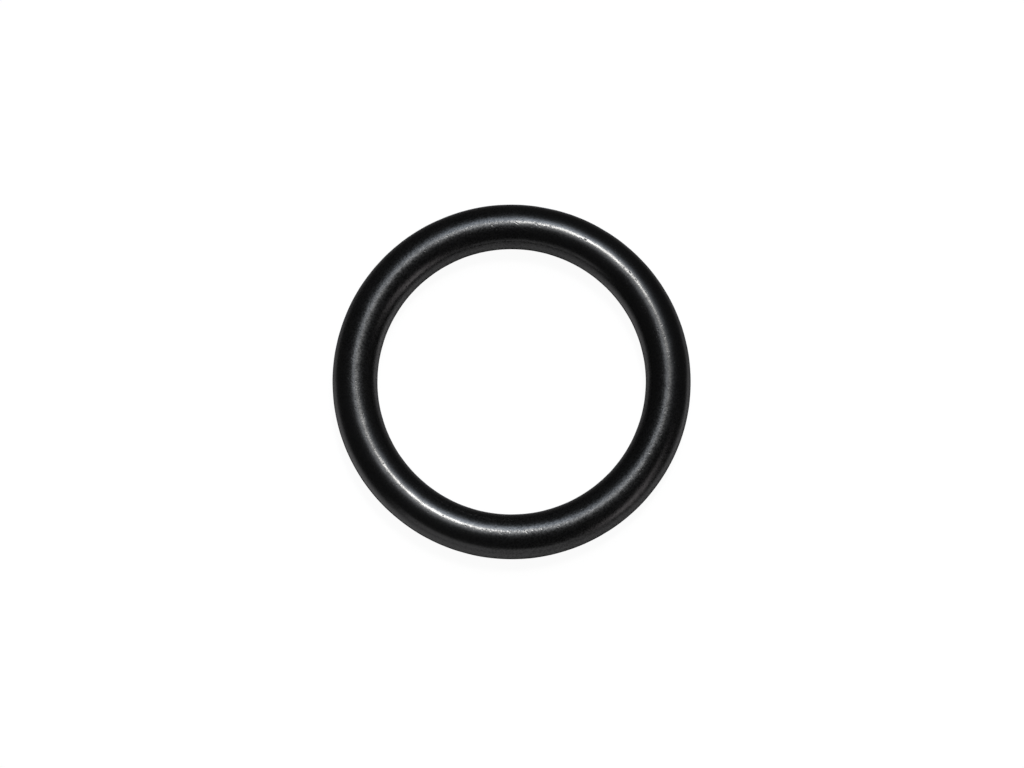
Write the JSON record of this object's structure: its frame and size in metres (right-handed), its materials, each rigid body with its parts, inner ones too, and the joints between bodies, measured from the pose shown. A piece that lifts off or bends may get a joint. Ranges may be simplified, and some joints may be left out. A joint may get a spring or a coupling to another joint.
{
  "type": "rubber o-ring",
  "caption": "Black rubber o-ring of round section, moulded in one piece, with the fine parting line of its mould on the inside and outside.",
  "frame": {"origin": "centre of the ring, on the mould's parting plane", "axes": "+Z along the ring's axis, upwards as the ring lies flat; the ring is round, so X and Y are free"},
  "size_m": [0.024, 0.024, 0.003],
  "materials": {
    "black_rubber": "satin, with a fine moulded grain"
  },
  "bodies": {
    "root": {"o_ring": "black_rubber"}
  },
  "joints": []
}
